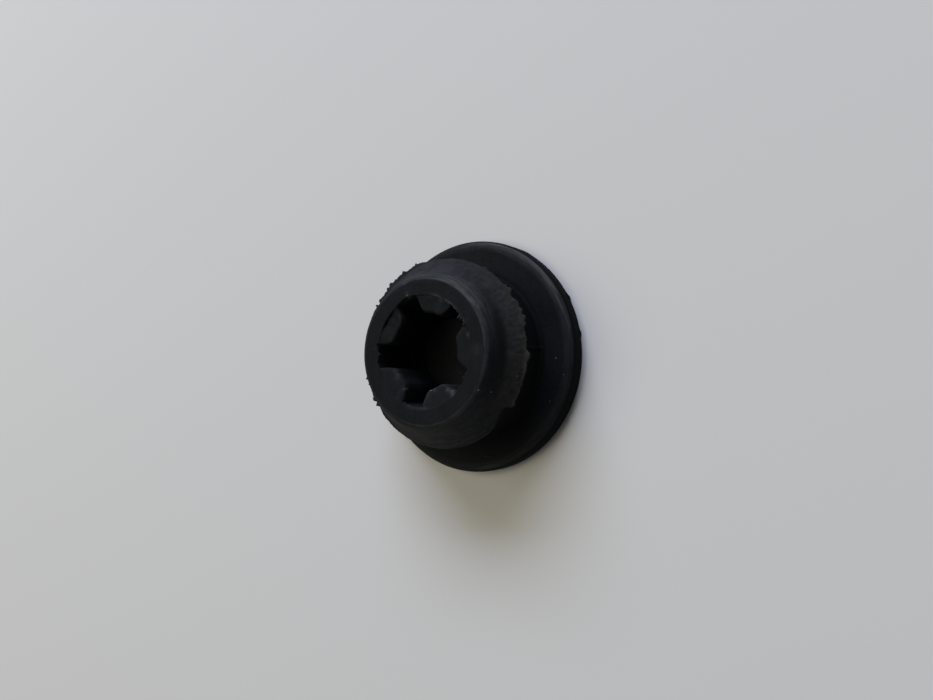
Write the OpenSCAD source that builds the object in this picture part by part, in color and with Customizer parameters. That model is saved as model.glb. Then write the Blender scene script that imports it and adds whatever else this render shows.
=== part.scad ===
// Radiator mount cushion: one rubber moulding that snaps into a round panel hole
// and grips a radiator's locating pin between five ribs.
// Millimetres. +Z is the way the pin leaves; the origin is the centre of the flange's underside.

/* [Overall] */
// Height from the underside to the flat top
height = 15.5; // [14.5:0.1:18]

/* [Flange] */
// Diameter of the flange
flange_d = 38; // [34:0.5:44]
// Thickness of the flange
flange_t = 3; // [2:0.1:4]
// Radius on the flange's upper edge
flange_round = 1.3; // [0.4:0.1:1.6]
// Radius on the flange's lower edge
flange_foot_round = 0.2; // [0.1:0.1:0.4]

/* [Neck] */
// Diameter of the neck that fills the panel hole
neck_d = 26.6; // [24:0.1:28]
// Height of the groove between the flange and the head
groove_h = 6.2; // [4:0.1:7]
// Radius where the neck meets the flange and the head
root_round = 0.8; // [0.2:0.1:1]

/* [Head] */
// Diameter across the lip, the widest ring of the head
lip_d = 29.5; // [28.8:0.1:31]
// Height of the lip's upright edge
lip_edge = 0.6; // [0.4:0.1:1]
// How much the head's underside rises from the neck out to the lip
lip_rise = 0.7; // [0.3:0.1:1]
// Diameter where the flared skirt meets the steeper crown
skirt_d = 26.1; // [25.2:0.1:26.8]
// Height of the flared skirt
skirt_h = 2; // [1.4:0.1:2.6]
// Diameter at the top, measured to where the flank and the top face would meet
crown_d = 22.7; // [21.4:0.1:23.6]
// Radius on the crown's top edge
crown_round = 1.1; // [0.4:0.1:1.3]

/* [Socket] */
// Diameter of the socket's mouth and wall
socket_d = 17.2; // [16.2:0.1:18]
// Depth from the top face to the seat that the pin rests on
seat_depth = 8.7; // [7:0.1:10.5]
// Diameter of the raised seat
seat_d = 11.8; // [11.7:0.1:12.8]
// Depth of the pocket around the seat, below the seat
pocket_h = 1.8; // [0.6:0.1:2.2]
// Width of the ledge in the socket wall at the seat's height
ledge_w = 0.4; // [0.1:0.1:0.7]
// Radius on the edge of the mouth
mouth_round = 0.25; // [0.1:0.05:0.5]

/* [Ribs] */
// Number of gripping ribs
rib_count = 5; // [3:1:6]
// Diameter of the circle on which the rib tips lie
grip_d = 11.6; // [10.4:0.1:11.6]
// Width of a rib at its tip
rib_tip_w = 3.8; // [3.6:0.1:4.6]
// Width of a rib where it meets the wall
rib_root_w = 7.4; // [4:0.1:7.8]
// Radius on the corners of a rib's tip
rib_corner = 0.7; // [0.3:0.1:1]
// How far the ribs stop below the top face
rib_recess = 0.4; // [0.2:0.1:1.5]
// Radius of the lead-in at the top of each rib
rib_lead = 0.5; // [0.3:0.1:1.2]
// Angle of the first rib from the +X axis
rib_turn = -8.5; // [-36:0.5:36]

/* [Mould flash] */
// Thickness of the torn flash that is left on the lip
flash_t = 0.3; // [0.2:0.05:0.5]
// Widest reach of the torn flash beyond the lip
flash_reach = 0.9; // [0.3:0.05:1]
// Depth of the chip that is torn out of the lip
chip_depth = 0.9; // [0.3:0.1:1.2]
// Width of that chip at the lip's edge
chip_w = 5; // [2:0.1:6]
// Angle of that chip from the +X axis
chip_turn = -128; // [-180:1:180]
// Thickness of the mould's parting line on the neck
seam_t = 0.4; // [0.2:0.05:0.6]
// How far the parting line stands out from the neck
seam_reach = 0.3; // [0.1:0.05:0.4]

/* [Hidden] */
$fn = 96;
rubber_black = [0.13, 0.14, 0.155];
arc_steps = 6;
// How far shapes that are joined run into each other.
overlap = 0.5;

groove_top = flange_t + groove_h;
lip_bottom = groove_top + lip_rise;
lip_top = lip_bottom + lip_edge;
skirt_top = lip_top + skirt_h;
top_face = height;
crown_h = top_face - skirt_top;
seat_z = top_face - seat_depth;
pocket_z = seat_z - pocket_h;
rib_top = top_face - rib_recess;

flange_r = flange_d / 2;
neck_r = neck_d / 2;
lip_r = lip_d / 2;
skirt_r = skirt_d / 2;
crown_r = crown_d / 2;
socket_r = socket_d / 2;
seat_r = seat_d / 2;
grip_r = grip_d / 2;

// Direction of the crown's flank, from its foot up to the top edge.
crown_slope = atan2(crown_h, skirt_r - crown_r);

// Points of a round stretch about centre c, from angle a0 to angle a1.
function arc(c, r, a0, a1, n = arc_steps) =
    [for (i = [0:n]) let (a = a0 + (a1 - a0) * i / n) [c[0] + r * cos(a), c[1] + r * sin(a)]];

// Half section of the whole moulding, from the axis at the underside round to the seat.
function section() = concat(
    [[0, 0]],
    arc([flange_r - flange_foot_round, flange_foot_round], flange_foot_round, -90, 0),
    arc([flange_r - flange_round, flange_t - flange_round], flange_round, 0, 90),
    arc([neck_r + root_round, flange_t + root_round], root_round, 270, 180),
    arc([neck_r + root_round, groove_top - root_round], root_round, 180, 110),
    [[lip_r, lip_bottom], [lip_r, lip_top], [skirt_r, skirt_top]],
    arc([crown_r - crown_round * tan(crown_slope / 2), top_face - crown_round],
        crown_round, 90 - crown_slope, 90),
    arc([socket_r + mouth_round, top_face - mouth_round], mouth_round, 90, 180),
    [[socket_r, seat_z], [socket_r - ledge_w, seat_z], [socket_r - ledge_w, pocket_z],
     [seat_r, pocket_z], [seat_r, seat_z], [0, seat_z]]
);

// Half section of the ring that the ribs are cut from, with the lead-in on its inner top edge.
function rib_section() = concat(
    [[grip_r - overlap, pocket_z - overlap], [socket_r + overlap, pocket_z - overlap],
     [socket_r + overlap, rib_top]],
    arc([grip_r + rib_lead, rib_top - rib_lead], rib_lead, 90, 180),
    [[grip_r - overlap, rib_top - rib_lead - overlap]]
);

// Plan of one rib on the +X axis, before its tip is hollowed to the grip circle.
function rib_outline() =
    let (tip_x = grip_r - overlap, root_x = socket_r + overlap,
         corner_x = grip_r + rib_corner, corner_y = rib_tip_w / 2 - rib_corner)
    concat(
        [[tip_x, -corner_y]],
        arc([corner_x, -corner_y], rib_corner, 190, 270),
        [[root_x, -rib_root_w / 2], [root_x, rib_root_w / 2]],
        arc([corner_x, corner_y], rib_corner, 90, 170),
        [[tip_x, corner_y]]
    );

// Torn nibs of flash on the lip: [angle, width in degrees, share of the full reach].
nibs = [[-117, 3, 0.6], [-104, 11, 0.5], [-87, 3, 0.95], [-68, 6, 1], [-57, 5, 0.65], [-46, 4, 0.6],
        [-27, 3, 0.45], [20, 9, 0.4], [40, 12, 0.45], [34, 3, 0.75], [47, 3, 0.9], [58, 4, 0.75],
        [80, 10, 0.5], [113, 8, 0.6], [123, 3, 0.9], [150, 12, 0.3]];

// A fine waver along the torn edge, from 0 to 1.
function waver(a) = (2 + sin(11 * a + 40) + sin(23 * a) * 0.6 + sin(37 * a + 90) * 0.4) / 4;

// Height of one nib at angle a, from 0 to 1.
function nib(n, a) =
    let (off = (a - n[0] + 540) % 360 - 180) n[2] * exp(-pow(off / n[1], 2));

// Reach of the flash beyond the lip at angle a.
function flash(a) = flash_reach * min(1, 0.15 * waver(a) + max([for (n = nibs) nib(n, a)]));

module flash_ring() {
    step = 1.5;
    inner = lip_r - overlap;
    translate([0, 0, lip_top - flash_t])
        linear_extrude(flash_t)
            difference() {
                polygon([for (a = [0:step:360 - step])
                    (lip_r + flash(a)) * [cos(a), sin(a)]]);
                circle(r = inner);
            }
}

module ribs() {
    intersection() {
        rotate_extrude() polygon(rib_section());
        translate([0, 0, pocket_z - overlap])
            linear_extrude(rib_top - pocket_z + 2 * overlap)
                difference() {
                    for (i = [0:rib_count - 1])
                        rotate(rib_turn + i * 360 / rib_count) polygon(rib_outline());
                    circle(r = grip_r);
                }
    }
}

// A scallop where a piece of the lip came away with the flash.
module chip() {
    chip_r = (pow(chip_w / 2, 2) + pow(chip_depth, 2)) / (2 * chip_depth);
    rotate(chip_turn)
        translate([lip_r - chip_depth + chip_r, 0, groove_top])
            cylinder(r = chip_r, h = skirt_top - groove_top);
}

// The parting line runs up the neck on the two sides where the mould halves met.
module seams() {
    for (side = [-90, 90])
        rotate(side)
            translate([neck_r - overlap, -seam_t / 2, flange_t - overlap])
                cube([overlap + seam_reach, seam_t, groove_h + 2 * overlap]);
}

module mount_cushion() {
    color(rubber_black)
        difference() {
            union() {
                rotate_extrude() polygon(section());
                ribs();
                flash_ring();
                seams();
            }
            chip();
        }
}

mount_cushion();
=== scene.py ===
"""Radiator mount cushion: one rubber moulding with torn flash on its lip, on a plain pale floor.

Every length is in metres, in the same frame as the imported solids: the origin is the centre of the
flange's underside and +Z points out of the socket's mouth.
"""

from __future__ import annotations

import logging
import math
from dataclasses import dataclass, field
from enum import Enum
from typing import Any, NamedTuple, Sequence

import bpy
import numpy as np
from mathutils import Matrix, Vector
from mathutils.bvhtree import BVHTree

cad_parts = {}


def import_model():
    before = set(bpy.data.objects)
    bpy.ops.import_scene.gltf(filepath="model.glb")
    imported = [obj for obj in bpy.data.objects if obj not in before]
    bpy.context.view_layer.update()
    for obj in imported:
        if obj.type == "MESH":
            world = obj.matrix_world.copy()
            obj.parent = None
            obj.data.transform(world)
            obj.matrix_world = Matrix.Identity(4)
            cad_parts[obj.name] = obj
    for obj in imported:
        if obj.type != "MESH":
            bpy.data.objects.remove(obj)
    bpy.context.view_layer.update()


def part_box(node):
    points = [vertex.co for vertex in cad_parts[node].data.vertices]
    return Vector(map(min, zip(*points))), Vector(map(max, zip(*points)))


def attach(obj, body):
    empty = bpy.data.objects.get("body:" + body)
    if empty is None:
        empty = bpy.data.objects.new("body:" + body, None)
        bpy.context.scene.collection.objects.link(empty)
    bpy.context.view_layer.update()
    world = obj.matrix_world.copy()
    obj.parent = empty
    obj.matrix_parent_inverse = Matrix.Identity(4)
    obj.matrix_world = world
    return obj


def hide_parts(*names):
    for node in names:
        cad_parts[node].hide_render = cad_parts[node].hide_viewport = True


LOG = logging.getLogger("mount_cushion")
MM = 0.001
TAU = math.tau
DEGREE = math.radians(1)

Point = tuple[float, float]
Triple = tuple[float, float, float]
Colour = tuple[float, float, float, float]
Number = float | int


class Pattern(NamedTuple):
    """Smooth noise: the blotches in one unit, the finer layers and how strong they are."""

    scale: float
    detail: float = 2.0
    roughness: float = 0.5


class Band(NamedTuple):
    """Where a smooth step starts from 0 and where it reaches 1."""

    low: float
    high: float


# ---------------------------------------------------------------------------
# Node trees written as Python arithmetic
# ---------------------------------------------------------------------------


class Value:
    """A node's output socket that can be used in Python arithmetic."""

    def __init__(self, maker: "NodeMaker", socket: bpy.types.NodeSocket) -> None:
        """Keeps the socket and the maker of its tree.

        Args:
            maker: the maker that adds nodes to the socket's tree.
            socket: the output socket.
        """
        self.maker = maker
        self.socket = socket

    def maths(self, operation: str, *others: "Value | Number", clamp: bool = False) -> "Value":
        """Adds one Math node that starts from this value.

        Args:
            operation: the Math node's operation.
            *others: the node's further inputs.
            clamp: whether the result is kept between 0 and 1.

        Returns:
            The node's result.
        """
        return self.maker.node(
            "ShaderNodeMath",
            {"operation": operation, "use_clamp": clamp},
            {i: v for i, v in enumerate((self, *others))},
        )

    def __add__(self, other: "Value | Number") -> "Value":
        """Returns this value plus another."""
        return self.maths("ADD", other)

    __radd__ = __add__

    def __sub__(self, other: "Value | Number") -> "Value":
        """Returns this value less another."""
        return self.maths("SUBTRACT", other)

    def __rsub__(self, other: Number) -> "Value":
        """Returns a number less this value."""
        return self.maths("MULTIPLY", -1.0) + other

    def __mul__(self, other: "Value | Number") -> "Value":
        """Returns this value times another."""
        return self.maths("MULTIPLY", other)

    __rmul__ = __mul__

    def __truediv__(self, other: "Value | Number") -> "Value":
        """Returns this value over another."""
        return self.maths("DIVIDE", other)

    def __neg__(self) -> "Value":
        """Returns this value with its sign changed."""
        return self.maths("MULTIPLY", -1.0)

    def at_least(self, other: "Value | Number") -> "Value":
        """Returns the larger of this value and another."""
        return self.maths("MAXIMUM", other)

    def at_most(self, other: "Value | Number") -> "Value":
        """Returns the smaller of this value and another."""
        return self.maths("MINIMUM", other)

    def clamped(self) -> "Value":
        """Returns this value kept between 0 and 1."""
        return self.maths("ADD", 0.0, clamp=True)

    def size(self) -> "Value":
        """Returns this value without its sign."""
        return self.maths("ABSOLUTE")

    def power(self, exponent: Number) -> "Value":
        """Returns this value, which isn't negative, raised to a power."""
        return self.maths("POWER", exponent)

    def bell(self) -> "Value":
        """Returns a smooth peak that is 1 where this value is 0 and falls away beyond 1."""
        return (-(self * self)).maths("EXPONENT")

    def between(self, low: Number, high: Number) -> "Value":
        """Returns a smooth step from 0 at low to 1 at high."""
        return self.maker.node(
            "ShaderNodeMapRange",
            {"interpolation_type": "SMOOTHSTEP"},
            {"Value": self, "From Min": low, "From Max": high},
        )


class NodeMaker:
    """Adds nodes to one shader or geometry tree."""

    def __init__(self, tree: bpy.types.NodeTree) -> None:
        """Keeps the tree.

        Args:
            tree: the tree that gets the nodes.
        """
        self.tree = tree

    def node(
        self,
        kind: str,
        settings: dict[str, Any] | None = None,
        inputs: dict[int | str, Any] | None = None,
        output: int | str = 0,
    ) -> Value:
        """Adds one node.

        Args:
            kind: the node's type.
            settings: its properties, set before its sockets.
            inputs: a value or a link for each named or numbered input socket.
            output: the output socket to return.

        Returns:
            That output socket as a value.
        """
        made = self.tree.nodes.new(kind)
        for name, value in (settings or {}).items():
            setattr(made, name, value)
        for name, value in (inputs or {}).items():
            socket = made.inputs[name]
            if isinstance(value, Value):
                self.tree.links.new(value.socket, socket)
            else:
                socket.default_value = value
        return Value(self, made.outputs[output])

    def vector(self, x: Value | Number, y: Value | Number, z: Value | Number) -> Value:
        """Joins three numbers into a vector.

        Args:
            x: the first number.
            y: the second number.
            z: the third number.

        Returns:
            The vector.
        """
        return self.node("ShaderNodeCombineXYZ", {}, {0: x, 1: y, 2: z})

    def parts(self, vector: Value) -> tuple[Value, Value, Value]:
        """Splits a vector into its three numbers.

        Args:
            vector: the vector.

        Returns:
            Its X, Y and Z.
        """
        first = self.node("ShaderNodeSeparateXYZ", {}, {0: vector})
        outputs = first.socket.node.outputs
        return first, Value(self, outputs[1]), Value(self, outputs[2])

    def stretched(self, place: Value, by: Triple) -> Value:
        """Returns a place with each of its numbers scaled by its own amount."""
        return self.node("ShaderNodeVectorMath", {"operation": "MULTIPLY"}, {0: place, 1: by})

    def in_mm(self, place: Value) -> Value:
        """Returns a place in metres as one in millimetres."""
        return self.node("ShaderNodeVectorMath", {"operation": "SCALE"}, {0: place, "Scale": 1 / MM})

    def noise(self, place: Value, pattern: Pattern) -> Value:
        """Reads smooth noise at a place.

        Args:
            place: where the noise is read.
            pattern: its scale and layers.

        Returns:
            The noise, from 0 to 1 and about 0.5 on average.
        """
        return self.node(
            "ShaderNodeTexNoise",
            {"noise_dimensions": "3D"},
            {"Vector": place, "Scale": pattern.scale, "Detail": pattern.detail,
             "Roughness": pattern.roughness},
        )

    def blend(self, share: Value | Number, first: Any, second: Any) -> Value:
        """Mixes two colours.

        Args:
            share: 0 for the first colour, 1 for the second.
            first: a colour or a link to one.
            second: a colour or a link to one.

        Returns:
            The mixed colour.
        """
        made = self.tree.nodes.new("ShaderNodeMix")
        made.data_type = "RGBA"
        colour_sockets = [s for s in made.inputs if s.type == "RGBA"]
        for socket, value in ((made.inputs[0], share), *zip(colour_sockets, (first, second))):
            if isinstance(value, Value):
                self.tree.links.new(value.socket, socket)
            else:
                socket.default_value = value
        return Value(self, next(s for s in made.outputs if s.type == "RGBA"))


class GeometryRecipe:
    """A geometry tree with named inputs, run once on a starting mesh."""

    SOCKETS = {float: "NodeSocketFloat", int: "NodeSocketInt", bpy.types.Material: "NodeSocketMaterial"}

    def __init__(self, name: str, inputs: dict[str, float | int | bpy.types.Material]) -> None:
        """Makes the empty tree and its named inputs.

        Args:
            name: the tree's name.
            inputs: the value of each named input, which also gives its type.
        """
        self.name = name
        self.values = inputs
        self.tree = bpy.data.node_groups.new(name, "GeometryNodeTree")
        self.tree.is_modifier = True
        face = self.tree.interface
        face.new_socket("Geometry", in_out="INPUT", socket_type="NodeSocketGeometry")
        for title, value in inputs.items():
            kind = next(k for k in self.SOCKETS if isinstance(value, k))
            face.new_socket(title, in_out="INPUT", socket_type=self.SOCKETS[kind])
        face.new_socket("Geometry", in_out="OUTPUT", socket_type="NodeSocketGeometry")
        self.maker = NodeMaker(self.tree)
        self.entry = self.tree.nodes.new("NodeGroupInput")

    def input(self, title: str) -> Value:
        """Returns one of the tree's named inputs."""
        return Value(self.maker, self.entry.outputs[title])

    def close(self, geometry: Value) -> None:
        """Ends the tree: instances become real and everything gets the finish.

        Args:
            geometry: what the tree has made.
        """
        real = self.maker.node("GeometryNodeRealizeInstances", {}, {"Geometry": geometry})
        dressed = self.maker.node(
            "GeometryNodeSetMaterial", {}, {"Geometry": real, "Material": self.input("Finish")}
        )
        leave = self.tree.nodes.new("NodeGroupOutput")
        self.tree.links.new(dressed.socket, leave.inputs[0])

    def run(self, start: bpy.types.Mesh) -> bpy.types.Object:
        """Runs the tree on a mesh and keeps the result as a plain mesh.

        Args:
            start: the mesh that the tree starts from.

        Returns:
            A new object with the result, at the origin and with no modifier.
        """
        carrier = bpy.data.objects.new(self.name + "_start", start)
        bpy.context.scene.collection.objects.link(carrier)
        modifier = carrier.modifiers.new(self.name, "NODES")
        modifier.node_group = self.tree
        for item in self.tree.interface.items_tree:
            if item.in_out == "INPUT" and item.name in self.values:
                modifier[item.identifier] = self.values[item.name]
        depsgraph = bpy.context.evaluated_depsgraph_get()
        made = bpy.data.meshes.new_from_object(
            carrier.evaluated_get(depsgraph), preserve_all_data_layers=True, depsgraph=depsgraph
        )
        bpy.data.objects.remove(carrier)
        made.name = self.name
        piece = bpy.data.objects.new(self.name, made)
        bpy.context.scene.collection.objects.link(piece)
        return piece


# ---------------------------------------------------------------------------
# Finishes
# ---------------------------------------------------------------------------


def start_finish(name: str) -> tuple[bpy.types.Material, NodeMaker, bpy.types.Node]:
    """Starts a material with nodes.

    Args:
        name: the finish's name.

    Returns:
        The material, the maker of its tree and its shader.
    """
    material = bpy.data.materials.new(name)
    material.use_nodes = True
    return material, NodeMaker(material.node_tree), material.node_tree.nodes["Principled BSDF"]


class Grain(Enum):
    """The patterns on the rubber."""

    CLOUD = "cloud"
    MOTTLE = "mottle"
    FINE = "fine"
    RINGS = "rings"
    STROKES = "strokes"


class Mark(Enum):
    """What the moulding stores about its surface, as an attribute of that name: the tear, the wear,
    which also holds painted highlights, and the bloom, which also holds painted light and shade.
    """

    TORN = "torn"
    WORN = "wear_and_highlight"
    FILM = "film"


class Layer(NamedTuple):
    """A pattern's part in a patchy colour: the step that sharpens it, and its share."""

    grain: Grain
    step: Band
    share: float


class Relief(NamedTuple):
    """A pattern's part in the relief: its height on plain rubber, and what a mark adds to it."""

    grain: Grain
    plain: float
    mark: Mark
    marked: float


@dataclass(frozen=True)
class RubberFinish:
    """Matt black moulded rubber with a faint dusty bloom, paler where it tore; the bloom also serves as
    painted light and shade, and the wear colour as painted highlights.
    """

    # The rubber's own colour, left unmixed where a row has no bloom share: the neck, the pockets and the
    # flange's side wall stay at it as painted shade.
    deep: Colour = (0.0020, 0.0024, 0.0028, 1.0)
    # The dusty bloom's colour; its share is also raised on surfaces that face the lamps and lowered on
    # the shaded -Y side, as painted light and painted shade.
    bloom_and_light: Colour = (0.0182, 0.0198, 0.0228, 1.0)
    torn: Colour = (0.0290, 0.0275, 0.0245, 1.0)
    # The colour of scuffed edges, also laid along edges that catch the window lamp as a painted
    # highlight, and on lit mouth and rib edges as painted glints.
    wear_and_highlight: Colour = (0.0480, 0.0500, 0.0520, 1.0)
    specular: float = 0.06
    grain_depth: float = 0.05 * MM
    bump_strength: float = 0.8
    cloud: Pattern = Pattern(0.22, 4.0, 0.55)
    mottle: Pattern = Pattern(1.3, 5.0, 0.62)
    fine: Pattern = Pattern(7.0, 3.0, 0.6)
    drawn: Pattern = Pattern(1.0, 3.0, 0.6)
    ring_stretch: Triple = (4.5, 4.5, 3.2)
    stroke_stretch: Triple = (30.0, 30.0, 0.55)
    bloom_least: float = 0.2
    bloom_layers: tuple[Layer, ...] = (
        Layer(Grain.CLOUD, Band(0.35, 0.65), 0.35), Layer(Grain.MOTTLE, Band(0.32, 0.68), 0.4),
        Layer(Grain.RINGS, Band(0.3, 0.7), 0.25),
    )
    torn_least: float = 0.15
    torn_layers: tuple[Layer, ...] = (
        Layer(Grain.MOTTLE, Band(0.32, 0.62), 0.45), Layer(Grain.STROKES, Band(0.3, 0.7), 0.4),
    )
    wear_and_highlight_least: float = 0.32
    wear_and_highlight_layers: tuple[Layer, ...] = (Layer(Grain.RINGS, Band(0.36, 0.62), 0.68),)
    matt_least: float = 0.6
    mottle_matt: float = 0.3
    film_matt: float = 0.06
    torn_matt: float = 0.2
    relief: tuple[Relief, ...] = (
        Relief(Grain.FINE, 0.25, Mark.TORN, 0.9), Relief(Grain.MOTTLE, 0.75, Mark.TORN, 0.9),
        Relief(Grain.RINGS, 0.3, Mark.WORN, 0.5), Relief(Grain.STROKES, 0.2, Mark.TORN, 0.5),
    )

    def grains(self, maker: NodeMaker) -> dict[Grain, Value]:
        """Reads each pattern, three by place and two drawn out round or along the section.

        Args:
            maker: the material's maker.

        Returns:
            The patterns.
        """
        place = maker.in_mm(maker.node("ShaderNodeTexCoord", output="Object"))
        flow = maker.node("ShaderNodeAttribute", {"attribute_name": "flow"}, output="Vector")
        return {
            Grain.CLOUD: maker.noise(place, self.cloud),
            Grain.MOTTLE: maker.noise(place, self.mottle),
            Grain.FINE: maker.noise(place, self.fine),
            Grain.RINGS: maker.noise(maker.stretched(flow, self.ring_stretch), self.drawn),
            Grain.STROKES: maker.noise(maker.stretched(flow, self.stroke_stretch), self.drawn),
        }

    def patchy(self, grains: dict[Grain, Value], least: float, layers: Sequence[Layer]) -> Value:
        """Adds patterns up to a share that varies over the surface.

        Args:
            grains: the patterns.
            least: the share where every pattern is low.
            layers: the patterns to add.

        Returns:
            The share.
        """
        total: Value | Number = least
        for layer in layers:
            total = grains[layer.grain].between(*layer.step) * layer.share + total
        return total

    def build(self) -> bpy.types.Material:
        """Makes the material.

        Returns:
            The material, whose pattern is fixed to the piece.
        """
        material, maker, shader = start_finish("black_rubber")
        marks = {
            mark: maker.node("ShaderNodeAttribute", {"attribute_name": mark.value}, output="Fac")
            for mark in Mark
        }
        grains = self.grains(maker)
        colour: Any = self.deep
        # Over the deep rubber go the bloom, which also paints light and shade, the tear, and the wear,
        # which also paints highlights and glints.
        for mark, paint, least, layers in (
            (Mark.FILM, self.bloom_and_light, self.bloom_least, self.bloom_layers),
            (Mark.TORN, self.torn, self.torn_least, self.torn_layers),
            (Mark.WORN, self.wear_and_highlight, self.wear_and_highlight_least, self.wear_and_highlight_layers),
        ):
            share = (marks[mark] * self.patchy(grains, least, layers)).clamped()
            colour = maker.blend(share, colour, paint)

        matt = grains[Grain.MOTTLE] * self.mottle_matt + marks[Mark.FILM] * self.film_matt
        matt = (matt + marks[Mark.TORN] * self.torn_matt + self.matt_least).clamped()
        height: Value | Number = 0.0
        for part in self.relief:
            height = grains[part.grain] * (marks[part.mark] * part.marked + part.plain) + height
        bump = maker.node("ShaderNodeBump", {}, {
            "Height": height, "Distance": self.grain_depth, "Strength": self.bump_strength,
        })
        for name, value in (("Base Color", colour), ("Roughness", matt), ("Normal", bump)):
            material.node_tree.links.new(value.socket, shader.inputs[name])
        shader.inputs["Specular IOR Level"].default_value = self.specular
        return material


@dataclass(frozen=True)
class DustFinish:
    """Pale grey lint and grit."""

    pale: Colour = (0.16, 0.165, 0.17, 1.0)
    dark: Colour = (0.055, 0.058, 0.062, 1.0)
    shade: Pattern = Pattern(0.9, 1.0)
    shade_step: Band = Band(0.35, 0.65)
    roughness: float = 0.9

    def build(self) -> bpy.types.Material:
        """Makes the material.

        Returns:
            The material, a little different from grain to grain.
        """
        material, maker, shader = start_finish("dust")
        place = maker.in_mm(maker.node("ShaderNodeTexCoord", output="Object"))
        shade = maker.noise(place, self.shade).between(*self.shade_step)
        colour = maker.blend(shade, self.dark, self.pale)
        material.node_tree.links.new(colour.socket, shader.inputs["Base Color"])
        shader.inputs["Roughness"].default_value = self.roughness
        return material


@dataclass(frozen=True)
class PaperFinish:
    """Plain pale paper for the floor."""

    colour: Colour = (0.56, 0.56, 0.555, 1.0)
    roughness: float = 0.95
    specular: float = 0.1

    def build(self) -> bpy.types.Material:
        """Makes the material.

        Returns:
            The floor's material.
        """
        material, _, shader = start_finish("pale_paper")
        shader.inputs["Base Color"].default_value = self.colour
        shader.inputs["Roughness"].default_value = self.roughness
        shader.inputs["Specular IOR Level"].default_value = self.specular
        return material


# ---------------------------------------------------------------------------
# The moulding
# ---------------------------------------------------------------------------


def arc(centre: Point, radius: float, start: float, end: float, steps: int) -> list[Point]:
    """Points of a round stretch of the half section.

    Args:
        centre: the arc's centre, as distance from the axis and height.
        radius: its radius.
        start: the angle of its first point, in degrees.
        end: the angle of its last point, in degrees.
        steps: how many points it has.

    Returns:
        The points, both ends included.
    """
    angles = np.radians(np.linspace(start, end, steps))
    return [(centre[0] + radius * math.cos(a), centre[1] + radius * math.sin(a)) for a in angles]


def line(start: Point, end: Point, steps: int) -> list[Point]:
    """Points of a straight stretch, without its two ends.

    Args:
        start: where the stretch starts.
        end: where it ends.
        steps: how many points lie between.

    Returns:
        The points between the ends.
    """
    shares = np.linspace(0, 1, steps + 2)[1:-1]
    return [(start[0] + (end[0] - start[0]) * s, start[1] + (end[1] - start[1]) * s) for s in shares]


class Trait(Enum):
    """What a row of the section takes part in, kept as an attribute of that name."""

    FLASH = "flash"
    CHIP = "chip"
    SEAM = "seam"
    RAG = "rag"
    RIB_EDGE = "rib_edge"
    LIFT = "lift"
    BULGE = "bulge"
    TORN = "torn_rows"
    # The edge and flake rows take the wear colour, partly as painted highlights and glints, and the film
    # rows the bloom, partly as painted light and shade.
    EDGE = "edge"
    FLAKE = "flake_and_glint"
    FILM = "film_and_light_rows"
    ALONG = "along"
    FOOT = "foot"
    NOTCH = "notch"


@dataclass
class Row:
    """One ring of the moulding: where it runs between two ribs, and where it runs through one."""

    between: Point
    through: Point
    traits: dict[Trait, float] = field(default_factory=dict)


@dataclass(frozen=True)
class Nib:
    """A nib of torn flash: its angle and half width in degrees, and its share of the full reach."""

    angle: float
    width: float
    share: float


@dataclass(frozen=True)
class Patch:
    """A pale spot near the mouth, partly rubbed rubber and partly a painted glint on a lit rib edge: its
    distance from the axis, its angle, size and strength.
    """

    distance: float
    angle: float
    size: float
    share: float


class Rough(NamedTuple):
    """A roughness: the noise that it follows, and how far it goes up and down."""

    pattern: Pattern
    amount: float


class Fray(NamedTuple):
    """An uneven share round the axis: its noise, the step that sharpens it, its least and its growth."""

    pattern: Pattern
    step: Band
    least: float
    growth: float


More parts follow.
